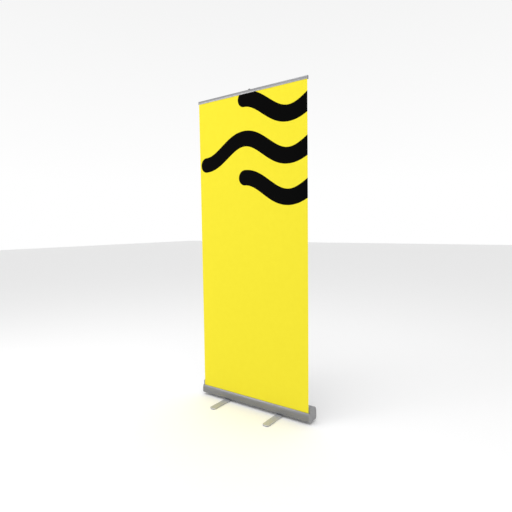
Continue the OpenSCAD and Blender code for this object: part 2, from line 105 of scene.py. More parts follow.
def normal_angle(a, b):
    """Degrees of the outward normal of the straight that joins disc a to disc b, when discs run
    anticlockwise: the run's right-hand normal, leaning by the difference of the radii over the distance."""
    run = np.subtract(b[:2], a[:2])
    length = np.hypot(*run)
    lean = (a[2] - b[2]) / length
    normal = run / length * lean + np.array([run[1], -run[0]]) / length * math.sqrt(1 - lean * lean)
    return math.degrees(math.atan2(normal[1], normal[0]))


def belt(discs, grow=0.0, steps=16):
    """Outline of a belt round discs [x, y, radius]: an arc on each disc, from one straight's normal to the
    next one's."""
    parts = []
    for i, (x, y, radius) in enumerate(discs):
        before, after = discs[i - 1], discs[(i + 1) % len(discs)]
        start = normal_angle(before, discs[i])
        sweep = (normal_angle(discs[i], after) - start) % 360
        parts.append(arc((x, y), radius + grow, start, start + sweep, steps))
    return np.vstack(parts)


def corner(before, at, after, radius, steps=6):
    """The arc that rounds a corner: it touches both sides, at radius over the tangent of half the corner's
    angle from its tip, and its centre is on the line that halves the corner."""
    at = np.asarray(at, float)
    a, b = (np.subtract(q, at) / np.linalg.norm(np.subtract(q, at)) for q in (before, after))
    half = math.acos(np.clip(a @ b, -1, 1)) / 2
    centre = at + (a + b) / np.linalg.norm(a + b) * radius / math.sin(half)
    begin, stop = (at + side * radius / math.tan(half) - centre for side in (a, b))
    start = math.degrees(math.atan2(begin[1], begin[0]))
    sweep = (math.degrees(math.atan2(stop[1], stop[0])) - start + 180) % 360 - 180
    return arc(centre, radius, start, start + sweep, steps)


def rounded(corners, steps=6):
    """Closed outline through corners [x, y, radius], each one rounded by its own radius."""
    count = len(corners)
    return np.vstack([corner(corners[i - 1][:2], c[:2], corners[(i + 1) % count][:2], c[2], steps)
                      for i, c in enumerate(corners)])


print("a belt round two discs has", len(belt([(0, 0, 1), (3, 0, 1)])), "points")

# %% Rings to a mesh
def tightness(p, wrap):
    """How tightly the skin bends at each grid point, in radians per metre: the angle between the normals of
    neighbouring quads over the distance between their middles, the larger of the two directions."""
    below = np.roll(p, -1, 0) if wrap else p[1:]
    above = p if wrap else p[:-1]
    first = np.roll(below, -1, 1) - above
    second = below - np.roll(above, -1, 1)
    normal = np.cross(first, second)
    normal /= np.linalg.norm(normal, axis=2, keepdims=True) + 1e-15
    middle = (above + below + np.roll(above, -1, 1) + np.roll(below, -1, 1)) / 4

    def bend(axis):
        cosine = (normal * np.roll(normal, 1, axis)).sum(2)
        gap = np.linalg.norm(middle - np.roll(middle, 1, axis), axis=2)
        return np.arccos(np.clip(cosine, -1, 1)) / (gap + 1e-9)
    across, along = bend(0), bend(1)
    if not wrap:
        across[0] = 0
        across, along = (np.pad(b, ((0, 1), (0, 0))) for b in (across, along))
    across = np.maximum(across, np.roll(across, 1, 1))
    along = np.maximum(along, np.roll(along, 1, 0))
    return np.maximum(across, along)


def finish_mesh(mesh, sharp_deg):
    """Turns the faces outwards if the enclosed volume is negative, and shades smooth up to an angle."""
    work = bmesh.new()
    work.from_mesh(mesh)
    if work.calc_volume(signed=True) < 0:
        bmesh.ops.reverse_faces(work, faces=work.faces)
    work.to_mesh(mesh)
    work.free()
    mesh.shade_smooth()
    mesh.set_sharp_from_angle(angle=math.radians(sharp_deg))


def loft(name, rings, wrap=False, sharp_deg=40):
    """Skins rings of shape (rings, points, 3): a quad between each pair of neighbours. The first and last
    ring are closed with a flat face, or joined to each other when wrap is set."""
    p = np.asarray(rings, float)
    count, around = p.shape[:2]
    i, j = np.meshgrid(np.arange(count if wrap else count - 1), np.arange(around), indexing="ij")
    below, beside = (i + 1) % count, (j + 1) % around
    quads = np.stack([i * around + j, i * around + beside, below * around + beside, below * around + j], -1)
    faces = quads.reshape(-1, 4).tolist()
    if not wrap:
        faces += [list(range(around))[::-1], list(range((count - 1) * around, count * around))]
    mesh = bpy.data.meshes.new(name)
    mesh.from_pydata(p.reshape(-1, 3).tolist(), [], faces)
    edge = mesh.attributes.new("edge", "FLOAT", "POINT")
    edge.data.foreach_set("value", np.clip(tightness(p, wrap) * 2 * MM, 0, 1).astype(np.float32).ravel())
    finish_mesh(mesh, sharp_deg)
    return mesh


def along_x(outlines, places):
    """Rings for a part drawn along X: one (points, 2) outline of y and z for each x."""
    return [np.column_stack([np.full(len(o), x), o]) for o, x in zip(outlines, places)]


def turned(profile, centre, steps=96, ripple=None):
    """Rings for a part turned about a vertical axis: each [radius, z] of the profile becomes a circle. ripple
    gives an addition to the radius from the angle and z."""
    a = np.linspace(0, 2 * np.pi, steps, endpoint=False)
    r, z = np.asarray(profile, float).T
    radius = r[:, None] + (ripple(a[None, :], z[:, None]) if ripple else 0 * a)
    return np.stack([centre[0] + radius * np.cos(a), centre[1] + radius * np.sin(a),
                     z[:, None] + 0 * a], -1)


# %% A piece and its body
made = []


def place(name, mesh, body, slot, stands_for=()):
    """Puts a finished mesh in the scene, on its body, with the record's material slot and the nodes that it
    replaces."""
    obj = bpy.data.objects.new(name, mesh)
    bpy.context.scene.collection.objects.link(obj)
    mesh.materials.append(finishes[slot])
    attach(obj, body)
    if stands_for:
        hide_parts(*stands_for)
    made.append(obj)
    return obj


def sizes(node):
    """Lowest and highest corner of a node as two arrays."""
    low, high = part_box(node)
    return np.array(low), np.array(high)


# %% [markdown]
# ## Finishes
# Each finish starts from one physical shader. Its plain numbers sit on the shader itself, and only what
# varies over the surface comes through nodes: grain, bump, smudges and wear. All patterns read the
# piece's own object coordinates, in metres, so their scale is the real one.

# %% Material helpers
def shader(name, color, **values):
    """A new material with one physical shader. Values name its sockets, with underscores for spaces."""
    material = bpy.data.materials.new(name)
    material.use_nodes = True
    tree = material.node_tree
    surface = next(n for n in tree.nodes if n.type == "BSDF_PRINCIPLED")
    surface.inputs["Base Color"].default_value = (*color, 1)
    for socket, value in values.items():
        surface.inputs[socket.replace("_", " ")].default_value = value
    return material, tree, surface


def add(tree, kind, inputs=(), **settings):
    """A node of a kind with its settings, and its inputs: a number is set and a socket is wired."""
    node = tree.nodes.new(kind)
    for key, value in settings.items():
        setattr(node, key, value)
    for key, value in dict(inputs).items():
        if isinstance(value, bpy.types.NodeSocket):
            tree.links.new(value, node.inputs[key])
        else:
            node.inputs[key].default_value = value
    return node


def place_coordinates(tree, scale=(1, 1, 1)):
    """The piece's own coordinates in metres, stretched."""
    place_m = add(tree, "ShaderNodeTexCoord").outputs["Object"]
    return add(tree, "ShaderNodeMapping", {"Vector": place_m, "Scale": scale}).outputs[0]


def noise(tree, vector, scale, detail=3.0, rough=0.5, twist=0.0):
    """Smooth noise between about 0.3 and 0.7."""
    return add(tree, "ShaderNodeTexNoise", {"Vector": vector, "Scale": scale, "Detail": detail,
                                            "Roughness": rough, "Distortion": twist}).outputs[0]


def spread(tree, value, low, high, to_low, to_high):
    """Carries a value from one span to another, and holds it there."""
    return add(tree, "ShaderNodeMapRange", {"Value": value, "From Min": low, "From Max": high,
                                            "To Min": to_low, "To Max": to_high}).outputs[0]


def calculate(tree, operation, a, b=0.0, c=0.0):
    """One step of arithmetic on numbers or sockets."""
    return add(tree, "ShaderNodeMath", {0: a, 1: b, 2: c}, operation=operation).outputs[0]


def blend_colors(tree, share, a, b):
    """Colour a where the share is 0 and b where it is 1."""
    def value(c):
        return c if isinstance(c, bpy.types.NodeSocket) else (*c, 1)
    return add(tree, "ShaderNodeMix", {0: share, 6: value(a), 7: value(b)}, data_type="RGBA").outputs[2]


def bump(tree, surface, height, distance, strength=1.0):
    """Feeds a height in shares of a distance in metres to the shader's normal."""
    node = add(tree, "ShaderNodeBump", {"Height": height, "Distance": distance, "Strength": strength})
    tree.links.new(node.outputs[0], surface.inputs["Normal"])


# %% [markdown]
# ### Drawn and anodised aluminium
# An extrusion carries fine, straight lines from its die, along its length. Noise that is stretched a
# hundred times along one axis gives them, in the roughness and in a bump a few hundredths of a millimetre
# deep. A second, broad noise stands for handling: dull smudges. Where the surface bends tightly the
# anodising is rubbed a little brighter.

# %% Aluminium
def drawn_metal(name, color, roughness, stretch, metallic=0.65, tint=0.05, wear=0.5, lines=1.0):
    """Aluminium with die lines; stretch is small along the lines and large across them. The milky oxide coat
    scatters a part of the light, so the shader isn't wholly metallic."""
    material, tree, surface = shader(name, color, Metallic=metallic, IOR=1.5)
    fine = noise(tree, place_coordinates(tree, stretch), 1.0, 4.0, 0.6)
    plain = place_coordinates(tree)
    broad = noise(tree, plain, 7.0, 3.0)
    smudge = noise(tree, plain, 26.0, 5.0, 0.62, 0.8)
    edge = add(tree, "ShaderNodeAttribute", attribute_name="edge").outputs["Fac"]
    scuff = noise(tree, plain, 140.0, 4.0, 0.7)
    rubbed = calculate(tree, "MULTIPLY", edge, spread(tree, scuff, 0.42, 0.62, 0.0, wear))
    dark = tuple(c * (1 - tint) for c in color)
    light = tuple(min(1.0, c * (1 + tint)) for c in color)
    bare = tuple(min(1.0, c * 1.45) for c in color)
    toned = blend_colors(tree, spread(tree, broad, 0.35, 0.65, 0, 1), dark, light)
    toned = blend_colors(tree, spread(tree, fine, 0.3, 0.7, 0.0, 0.35), toned, dark)
    tree.links.new(blend_colors(tree, rubbed, toned, bare), surface.inputs["Base Color"])
    rough = calculate(tree, "ADD", spread(tree, fine, 0.3, 0.7, roughness - 0.06, roughness + 0.08),
                      spread(tree, smudge, 0.50, 0.72, 0.0, 0.10))
    tree.links.new(rough, surface.inputs["Roughness"])
    bump(tree, surface, fine, 0.03 * MM * lines, 0.6)
    return material


# %% [markdown]
# ### Moulded plastic and rubber
# Moulded parts take the spark-eroded grain of their tool: blunt pits about half a millimetre apart.
# Rubber has the same idea with a deeper, softer grain and a grey bloom of dust.

# %% Plastics
def moulded(name, color, roughness, grain=1500.0, depth=0.04, dust=0.0, shine=0.45, cloud=1.0):
    """Plastic or rubber with moulded grain. Dust lightens it in broad patches; cloud is their contrast."""
    material, tree, surface = shader(name, color, IOR=1.5)
    surface.inputs["Specular IOR Level"].default_value = shine
    plain = place_coordinates(tree)
    pits = noise(tree, plain, grain, 2.0, 0.5)
    patch = noise(tree, plain, 35.0, 4.0, 0.6)
    light = tuple(min(1.0, c * (1 + 0.12 * cloud) + 0.10 * dust) for c in color)
    dark = tuple(c * (1 - 0.10 * cloud) for c in color)
    tree.links.new(blend_colors(tree, spread(tree, patch, 0.35, 0.68, 0, 1), dark, light),
                   surface.inputs["Base Color"])
    rough = calculate(tree, "ADD", spread(tree, patch, 0.35, 0.65, roughness - 0.05, roughness + 0.06),
                      spread(tree, pits, 0.35, 0.65, -0.03, 0.03))
    tree.links.new(rough, surface.inputs["Roughness"])
    bump(tree, surface, pits, depth * MM, 0.7)
    return material


# %% [markdown]
# ### Plated and spring steel
# Zinc plate has faint crystals with a bluish and a straw-coloured cast. Oiled spring steel is darker and
# smoother.

# %% Steels
def plated(name, color, cool, warm, roughness, crystal=420.0):
    """Steel whose tint wanders between a cool and a warm tone from crystal to crystal."""
    material, tree, surface = shader(name, color, Metallic=1.0)
    plain = place_coordinates(tree)
    cells = add(tree, "ShaderNodeTexVoronoi", {"Vector": plain, "Scale": crystal}).outputs["Color"]
    tone = add(tree, "ShaderNodeSeparateColor", {"Color": cells}).outputs[0]
    cloud = noise(tree, plain, 60.0, 4.0, 0.6)
    mixed = calculate(tree, "MULTIPLY_ADD", tone, 0.35, calculate(tree, "MULTIPLY", cloud, 0.65))
    tree.links.new(blend_colors(tree, spread(tree, mixed, 0.3, 0.7, 0, 1), cool, warm),
                   surface.inputs["Base Color"])
    tree.links.new(spread(tree, mixed, 0.3, 0.7, roughness - 0.05, roughness + 0.10),
                   surface.inputs["Roughness"])
    bump(tree, surface, cloud, 0.02 * MM, 0.5)
    return material


# %% [markdown]
# ### The printed film
# The film is printed edge to edge: a clear yellow, with three bold black waves that run off its right
# side. The waves are worked out where they are seen: the distance from a point to a sine curve is the
# height above it over the slope's length. Each wave starts on a crest or in a trough, where the curve is
# level, so that a round end meets it cleanly. The waves read the film's own coordinates, and the film
# hangs on the rail, so the print moves with the rail. The film's
# back is a grey block-out coat.

# %% Printed film
WAVE_HEIGHT = 0.07
WAVE_LENGTH = 0.66
WAVE_PHASE = 1.9
BAND_HALF = 0.05
CREST_X = (math.pi / 2 - WAVE_PHASE) * WAVE_LENGTH / (2 * math.pi)
WAVES = [(1.965, CREST_X), (1.715, CREST_X - WAVE_LENGTH / 2), (1.465, CREST_X)]


def wave_band(tree, x, z, flat, middle_z, start_x):
    """1 inside a wavy band: the band's half width less the distance to the curve, right of its start, or less
    the distance to its start point, which rounds the end."""
    k = 2 * math.pi / WAVE_LENGTH
    angle = calculate(tree, "MULTIPLY_ADD", x, k, WAVE_PHASE)
    curve = calculate(tree, "MULTIPLY_ADD", calculate(tree, "SINE", angle), WAVE_HEIGHT, middle_z)
    slope = calculate(tree, "MULTIPLY", calculate(tree, "COSINE", angle), WAVE_HEIGHT * k)
    stretch = calculate(tree, "SQRT", calculate(tree, "MULTIPLY_ADD", slope, slope, 1.0))
    height = calculate(tree, "ABSOLUTE", calculate(tree, "SUBTRACT", z, curve))
    distance = calculate(tree, "DIVIDE", height, stretch)
    inside = spread(tree, distance, BAND_HALF - 0.4 * MM, BAND_HALF + 0.4 * MM, 1, 0)
    beyond = calculate(tree, "MULTIPLY", inside, calculate(tree, "GREATER_THAN", x, start_x))
    start_z = middle_z + WAVE_HEIGHT * math.sin(k * start_x + WAVE_PHASE)
    gap = add(tree, "ShaderNodeVectorMath", {0: flat, 1: (start_x, 0, start_z)}, operation="DISTANCE")
    round_end = spread(tree, gap.outputs["Value"], BAND_HALF - 0.4 * MM, BAND_HALF + 0.4 * MM, 1, 0)
    return calculate(tree, "MAXIMUM", beyond, round_end)


def printed_film(name):
    """Matt laminate over yellow and black ink."""
    yellow, deep = (0.808, 0.700, 0.036), (0.798, 0.689, 0.034)
    material, tree, surface = shader(name, yellow, Roughness=0.5, IOR=1.5)
    surface.inputs["Specular IOR Level"].default_value = 0.015
    plain = place_coordinates(tree)
    axes = add(tree, "ShaderNodeSeparateXYZ", {0: plain})
    x, z = axes.outputs[0], axes.outputs[2]
    flat = add(tree, "ShaderNodeCombineXYZ", {0: x, 2: z}).outputs[0]
    ink = 0.0
    for wave in WAVES:
        ink = calculate(tree, "MAXIMUM", ink, wave_band(tree, x, z, flat, *wave))
    lay = noise(tree, plain, 30.0, 4.0, 0.6)
    grain = noise(tree, plain, 2600.0, 1.0)
    ground = blend_colors(tree, spread(tree, lay, 0.35, 0.65, 0, 1), yellow, deep)
    tree.links.new(blend_colors(tree, ink, ground, (0.0015, 0.0015, 0.0015)), surface.inputs["Base Color"])
    rough = calculate(tree, "ADD", spread(tree, grain, 0.3, 0.7, 0.44, 0.56),
                      calculate(tree, "MULTIPLY", ink, -0.04))
    tree.links.new(rough, surface.inputs["Roughness"])
    bump(tree, surface, grain, 0.012 * MM, 0.6)
    return material


# %% The set of finishes
colors = {m["slot"]: tuple(m["base_color"][:3]) for m in frame["record"]["materials"]}
finishes = {
    "anodised_grey": drawn_metal("anodised_grey", (0.216, 0.217, 0.225), 0.33, (5, 650, 650)),
    "rail_silver": drawn_metal("rail_silver", (0.29, 0.291, 0.300), 0.34, (5, 650, 650)),
    "foot_silver": drawn_metal("foot_silver", (0.51, 0.52, 0.55), 0.42, (650, 6, 650), 0.35,
                               wear=0.25, lines=1.2),
    "pole_silver": drawn_metal("pole_silver", (0.60, 0.605, 0.62), 0.28, (650, 650, 5), 0.85, wear=0.3),
    "cap_plastic": moulded("cap_plastic", (0.245, 0.245, 0.25), 0.44, 1500.0, 0.035),
    "black_plastic": moulded("black_plastic", (0.022, 0.022, 0.024), 0.44, 1500.0, 0.035),
    "nylon": moulded("nylon", colors["nylon"], 0.42, 900.0, 0.02),
    "rubber_pad": moulded("rubber_pad", (0.020, 0.020, 0.021), 0.74, 900.0, 0.10, 0.5, 0.3),
    "zinc_steel": plated("zinc_steel", (0.60, 0.61, 0.62), (0.56, 0.59, 0.63), (0.66, 0.63, 0.56), 0.28),
    "spring_steel": plated("spring_steel", (0.30, 0.31, 0.33), (0.24, 0.25, 0.28), (0.33, 0.31, 0.29), 0.30),
    "film": printed_film("film"),
}
film_back = moulded("film_back", (0.46, 0.46, 0.47), 0.60, 2200.0, 0.015, cloud=0.2)
for entry in frame["record"]["subparts"]:
    data = frame["nodes"][entry["node"]].data
    data.materials.clear()
    data.materials.append(finishes[entry["material_slot"]])

# %% [markdown]
# ## The housing
# The housing is one aluminium extrusion: a low front lip, a narrow slot where the film comes out, and a
# taller back whose top falls in a broad curve to the rear. Its section is a single closed line, because
# the slot opens the hollow to the outside: round the outside, down through the slot, round the hollow and
# out again.

# %% Housing section
housing_low, housing_high = sizes("housing")
film_low, film_high = sizes("banner")
film_y = (film_low[1] + film_high[1]) / 2
WALL = 2 * MM
CORNER = 8 * MM
LOW_CORNER = 14 * MM
SHOULDER = 38 * MM
BROW = 50 * MM
LIP = 1.5 * MM
SLOT_HALF = 1.5 * MM
ROOF_FALL = 4 * MM
LIP_TOP = 72 * MM
BROW_HEIGHT = 47 * MM
slot_front, slot_back = film_y - SLOT_HALF, film_y + SLOT_HALF
back_face = slot_back + 1 * MM
front_corner = (housing_low[1] + LOW_CORNER, housing_low[2] + LOW_CORNER, LOW_CORNER)
rear_corner = (housing_high[1] - LOW_CORNER, housing_low[2] + LOW_CORNER, LOW_CORNER)
shoulder = (housing_high[1] - SHOULDER, housing_high[2] - ROOF_FALL - SHOULDER, SHOULDER)
crest = (back_face + CORNER, housing_high[2] - CORNER, CORNER)
lip = (slot_front - LIP, LIP_TOP - LIP, LIP)
brow = (housing_low[1] + BROW, BROW_HEIGHT, BROW)
step_disc = (pivot_y - 20 * MM, LIP_TOP - 12 * MM, CORNER)
roof_normal = normal_angle(shoulder, crest)
ledge_normal = normal_angle(step_disc, lip)
brow_normal = normal_angle(lip, brow)


def ledge_z(y, grow=0.0):
    """Height of the straight that slopes back from the lip, at a depth y: where its normal's line passes."""
    a = math.radians(ledge_normal)
    return lip[1] + ((lip[2] + grow) - (y - lip[0]) * math.cos(a)) / math.sin(a)


def outside(grow=0.0, steps=20):
    """Outer outline of housing and end caps, anticlockwise from the lower front corner: four arcs, the inner
    corner where back and ledge meet, the lip's small arc, and the brow's wide one down to the front face."""
    def swept(disc, start, stop):
        return arc(disc[:2], max(disc[2] + grow, 0.05 * MM), start, stop, steps)
    meet = back_face - grow
    return np.vstack([
        swept(front_corner, 180, 270),
        swept(rear_corner, 270, 360),
        swept(shoulder, 0, roof_normal),
        swept(crest, roof_normal, 180),
        [[meet, ledge_z(meet, grow)]],
        swept(lip, ledge_normal, brow_normal),
        swept(brow, brow_normal, 180),
    ])


def section(steps=20):
    """The extrusion's wall as one closed line: the outside, cut at the slot, then the hollow run backwards.
    The lip rolls over into the slot, and the two inner corners behind it are eased by small arcs."""
    throat = (housing_low[1] + WALL + 4 * MM, LIP_TOP - 10 * MM, 4 * MM)
    inner_step = (step_disc[0], LIP_TOP - 14 * MM, 4 * MM)
    roof = normal_angle(inner_step, throat)

    def throat_z(y):
        a = math.radians(roof)
        return throat[1] + (throat[2] - (y - throat[0]) * math.cos(a)) / math.sin(a)

    def hollow(disc, start, stop):
        return arc(disc[:2], disc[2] - WALL, start, stop, steps)

    wall_top = outside(0.0, steps)[:4 * (steps + 1)]
    meet, rear_lip = (back_face, ledge_z(back_face)), (slot_back, ledge_z(slot_back))
    brow_end = 180 - math.degrees(math.asin((throat[1] + throat[2] - brow[1]) / (BROW - WALL)))
    return np.vstack([
        wall_top,
        corner(wall_top[-1], meet, rear_lip, 0.4 * MM),
        corner(meet, rear_lip, (slot_back, throat_z(slot_back)), 0.4 * MM),
        [[slot_back, throat_z(slot_back)], [back_face + WALL, throat_z(back_face + WALL)]],
        hollow(crest, 180, roof_normal),
        hollow(shoulder, roof_normal, 0),
        hollow(rear_corner, 360, 270),
        hollow(front_corner, 270, 180),
        hollow(brow, 180, brow_end),
        [[slot_front, throat_z(slot_front)]],
        arc(lip[:2], LIP, 0, brow_normal, steps),
        arc(brow[:2], BROW, brow_normal, 180, steps),
    ])


# %% Cutting
def cut(mesh_object, cutters):
    """Takes closed meshes out of a piece with an exact boolean, which is applied at once."""
    for cutter_mesh in cutters:
        cutter = bpy.data.objects.new("cutter", cutter_mesh)
        bpy.context.scene.collection.objects.link(cutter)
        modifier = mesh_object.modifiers.new("cut", "BOOLEAN")
        modifier.operation, modifier.solver, modifier.object = "DIFFERENCE", "EXACT", cutter
        shape = bpy.data.meshes.new_from_object(
            mesh_object.evaluated_get(bpy.context.evaluated_depsgraph_get()))
        mesh_object.modifiers.clear()
        mesh_object.data = shape
        bpy.data.objects.remove(cutter)
    return mesh_object


def rod(name, start, stop, radius, steps=48):
    """A round rod between two points along one axis, as a closed mesh."""
    start, stop = np.asarray(start, float), np.asarray(stop, float)
    axis = int(np.argmax(np.abs(stop - start)))
    others = [k for k in range(3) if k != axis]
    a = np.linspace(0, 2 * np.pi, steps, endpoint=False)
    rings = []
    for point in (start, stop):
        ring = np.tile(point, (steps, 1))
        ring[:, others[0]] += radius * np.cos(a)
        ring[:, others[1]] += radius * np.sin(a)
        rings.append(ring)
    return loft(name, rings)


print("a rod has", len(rod("rod", (0, 0, 0), (0, 0, 1), 1).polygons), "faces")

# %% Housing
CUT_END = 0.3 * MM
SOCKET_HOLE = 13.2 * MM
BOLT_HOLE = 4.2 * MM
wall_line = section()
inner_places = np.linspace(housing_low[0] + CUT_END, housing_high[0] - CUT_END, 25)
housing_places = [housing_low[0], *inner_places, housing_high[0]]
housing_rings = along_x([wall_line] * len(housing_places), housing_places)
housing = place("housing_shell", loft("housing_shell", housing_rings), "base", "anodised_grey", ["housing"])
socket_y = joints["lower_collar_twist"]["pos_m"][1]
underside, top = housing_low[2], housing_high[2]
holes = [rod("socket_hole", (0, socket_y, top - 24 * MM), (0, socket_y, top + 16 * MM), SOCKET_HOLE, 96)]
for side in ("left", "right"):
    x, y, _ = joints[f"foot_{side}_swivel"]["pos_m"]
    holes.append(rod("bolt_hole", (x, y, underside - 2 * MM), (x, y, underside + 4 * MM), BOLT_HOLE))
cut(housing, holes)
print("housing section has", len(wall_line), "points and the shell", len(housing.data.polygons), "faces")

# %% [markdown]
# ### End caps
# A moulded cap closes each end. Its face is the same outline a little larger, rolled over at the rim:
# each ring toward the outside follows a quarter circle inwards. The screws sit in round sinkings, which
# are cut out of the finished mesh.

# %% End caps
ROLL = 1.8 * MM
SINK_RADIUS = 3.3 * MM
SINK_DEPTH = 3 * MM
PORT = 3.6 * MM
PORT_ROOT = 0.6 * MM


def port(disc, toward):
    """Where a screw port stands: from the disc's middle towards its corner, as far as the wall lets it."""
    shift = (disc[2] - WALL - PORT + PORT_ROOT) / math.sqrt(2)
    return disc[0] + toward[0] * shift, disc[1] + toward[1] * shift


ports = [port(front_corner, (-1, -1)), port(rear_corner, (1, -1)), port(crest, (-1, 1))]


def end_cap(side):
    """One cap: side is 1 for the right end and -1 for the left."""
    node = "end_cap_right" if side > 0 else "end_cap_left"
    low, high = sizes(node)
    face = high[0] if side > 0 else -low[0]
    seat = housing_high[0] + 0.06 * MM
    proud = 0.6 * MM
    quarter = np.radians(np.linspace(0, 90, 9))
    stations = [(seat, proud - 0.5 * MM), (seat + 0.5 * MM, proud)]
    stations += [(face - ROLL + ROLL * math.sin(a), proud - ROLL + ROLL * math.cos(a)) for a in quarter]
    stations.append((face, proud - ROLL - 0.2 * MM))
    rings = along_x([outside(grow) for _, grow in stations], [side * x for x, _ in stations])
    cap = place(node + "_shell", loft(node + "_shell", rings), "base", "cap_plastic", [node])
    floor_x, past_x = side * (face - SINK_DEPTH), side * (face + SINK_DEPTH)
    sinkings = [rod("sinking", (floor_x, *p), (past_x, *p), SINK_RADIUS) for p in ports]
    cut(cap, sinkings)
    cap.data.set_sharp_from_angle(angle=math.radians(40))
    return cap


caps = [end_cap(side) for side in (1, -1)]
print("end caps", [len(c.data.polygons) for c in caps], "faces")


# %% [markdown]
# ## Small hardware
# Screws, bolts, washers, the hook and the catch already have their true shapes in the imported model. On
# the real stand no edge is quite sharp, and it is the bright line along an eased edge that makes such a
# piece look real. So each one is copied, its loose triangles are merged back into whole faces, and a
# narrow bevel goes on.

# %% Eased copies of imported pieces
slots = {entry["node"]: entry["material_slot"] for entry in frame["record"]["subparts"]}
bodies = frame["record"]["behaviour"]["bodies"]
body_of_node = {node: body for body, nodes in bodies.items() for node in nodes}


def eased(node, width, segments=2):
    """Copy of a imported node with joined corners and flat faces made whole, and a bevel of that width."""
    work = bmesh.new()
    work.from_mesh(frame["nodes"][node].data)
    bmesh.ops.remove_doubles(work, verts=work.verts, dist=0.5e-6)
    bmesh.ops.dissolve_limit(work, angle_limit=math.radians(0.3), verts=work.verts, edges=work.edges)
    work.verts.index_update()
    points = [tuple(v.co) for v in work.verts]
    faces = [[v.index for v in f.verts] for f in work.faces]
    work.free()
    mesh = bpy.data.meshes.new(node + "_eased")
    mesh.from_pydata(points, [], faces)
    mesh.shade_smooth()
    obj = place(node + "_eased", mesh, body_of_node[node], slots[node], [node])
    bevel = obj.modifiers.new("eased edges", "BEVEL")
    bevel.width, bevel.segments, bevel.limit_method = width, segments, "ANGLE"
    bevel.angle_limit, bevel.harden_normals = math.radians(32), True
    return obj


for node, width in {
    "end_cap_screws": 0.25, "pole_socket": 0.6, "pivot_bolts": 0.3, "pivot_washers": 0.2, "pivot_nuts": 0.3,
    "foot_plate_left": 0.4, "foot_plate_right": 0.4, "pole_hook": 0.7, "hook_screw": 0.2, "rail_back": 0.15,
    "rail_catch": 0.35, "rail_catch_rivets": 0.3, "foot_left_pads": 0.4, "foot_right_pads": 0.4,
    "pole_base_plug": 0.3, "lower_collet": 0.15, "upper_collet": 0.15, "spring_anchor": 0.3,
    "idler_bracket": 0.3, "spindle_bracket": 0.3,
}.items():
    eased(node, width * MM)
print(len(made), "pieces so far")

# %% [markdown]
# ## Feet
# A foot is a flat aluminium bar, six millimetres thick, with rounded ends and a rolled edge all round.
# Its plan is a belt round four corner discs. Stacked inwards along a quarter circle, the plan gives the
# rolled edge. The seat of the pivot bolt is cut in from below.

# %% Feet
NOSE = 18 * MM
FOOT_ROLL = 2.4 * MM
BOLT_SEAT = 6.4 * MM
SEAT_RADIUS = 8.6 * MM


def foot(side):
    """A bar from its packed box: rings of its plan go in and up along a quarter circle, at both faces."""
    low, high = sizes(f"foot_{side}")
    plan = [(x, y, NOSE) for x, y in [
        (low[0] + NOSE, low[1] + NOSE), (high[0] - NOSE, low[1] + NOSE),
        (high[0] - NOSE, high[1] - NOSE), (low[0] + NOSE, high[1] - NOSE)]]
    quarter = np.radians(np.linspace(0, 90, 9))
    lower = [(low[2] + FOOT_ROLL * (1 - math.sin(a)), FOOT_ROLL * (1 - math.cos(a))) for a in quarter[::-1]]
    upper = [(high[2] - FOOT_ROLL * (1 - math.sin(a)), FOOT_ROLL * (1 - math.cos(a))) for a in quarter]
    flat = FOOT_ROLL + 0.5 * MM
    levels = [(low[2], flat), *lower, *upper, (high[2], flat)]
    rings = [np.column_stack([outline, np.full(len(outline), z)])
             for z, outline in ((z, belt(plan, -inset, 14)) for z, inset in levels)]
    bar = place(f"foot_{side}_bar", loft(f"foot_{side}_bar", rings), f"foot_{side}", "foot_silver",
                [f"foot_{side}"])
    pivot = joints[f"foot_{side}_swivel"]["pos_m"]
    seat = rod("seat", (*pivot[:2], -0.01), (*pivot[:2], BOLT_SEAT), SEAT_RADIUS)
    hole = rod("hole", (*pivot[:2], 0), (*pivot[:2], 0.02), BOLT_HOLE)
    cut(bar, [seat, hole])
    bar.data.set_sharp_from_angle(angle=math.radians(40))
    return bar


feet = [foot(side) for side in ("left", "right")]
print("foot bars", [len(f.data.polygons) for f in feet], "faces")

# %% [markdown]
# ## Pole
# Three drawn tubes slide in each other. A tube is its wall's profile turned about the pole's axis: up the
# outside, over a rounded mouth, down the bore and back round the lower rim, so the wall has no open edge.

# %% Tubes
pole_x, pole_y = 0.0, sum(sizes("pole_lower_tube")[i][1] for i in (0, 1)) / 2
TUBE_WALL = 1.2 * MM


def wall_profile(outer, inner, low, high):
    """Closed profile [radius, z] of a wall with half round rims."""
    rim = (outer - inner) / 2
    mid = (outer + inner) / 2
    return np.vstack([arc((mid, high - rim), rim, 0, 180, 8), arc((mid, low + rim), rim, 180, 360, 8)])


def tube(node, body):
    low, high = sizes(node)
    radius = (high[0] - low[0]) / 2
    profile = wall_profile(radius, radius - TUBE_WALL, low[2], high[2])
    name = node.replace("_tube", "_drawn")
    return place(name, loft(name, turned(profile, (pole_x, pole_y)), wrap=True), body, "pole_silver", [node])


for section_name in ("lower", "middle", "top"):
    tube(f"pole_{section_name}_tube", f"pole_{section_name}")
print("pole tubes on axis y =", round(pole_y, 4))

# %% [markdown]
# ## Twist-lock collars
# A collar is gripped by hand, so it carries soft ribs. The rib is a cosine wave round the body that only
# counts where it is positive, and it fades out towards both ends.

# %% Collars
RIBS = 16
RIB_HEIGHT = 0.9 * MM


def fade(value, start, stop):
    """0 before start, 1 after stop, and a smooth step between."""
    t = np.clip((value - start) / (stop - start), 0, 1)
    return t * t * (3 - 2 * t)


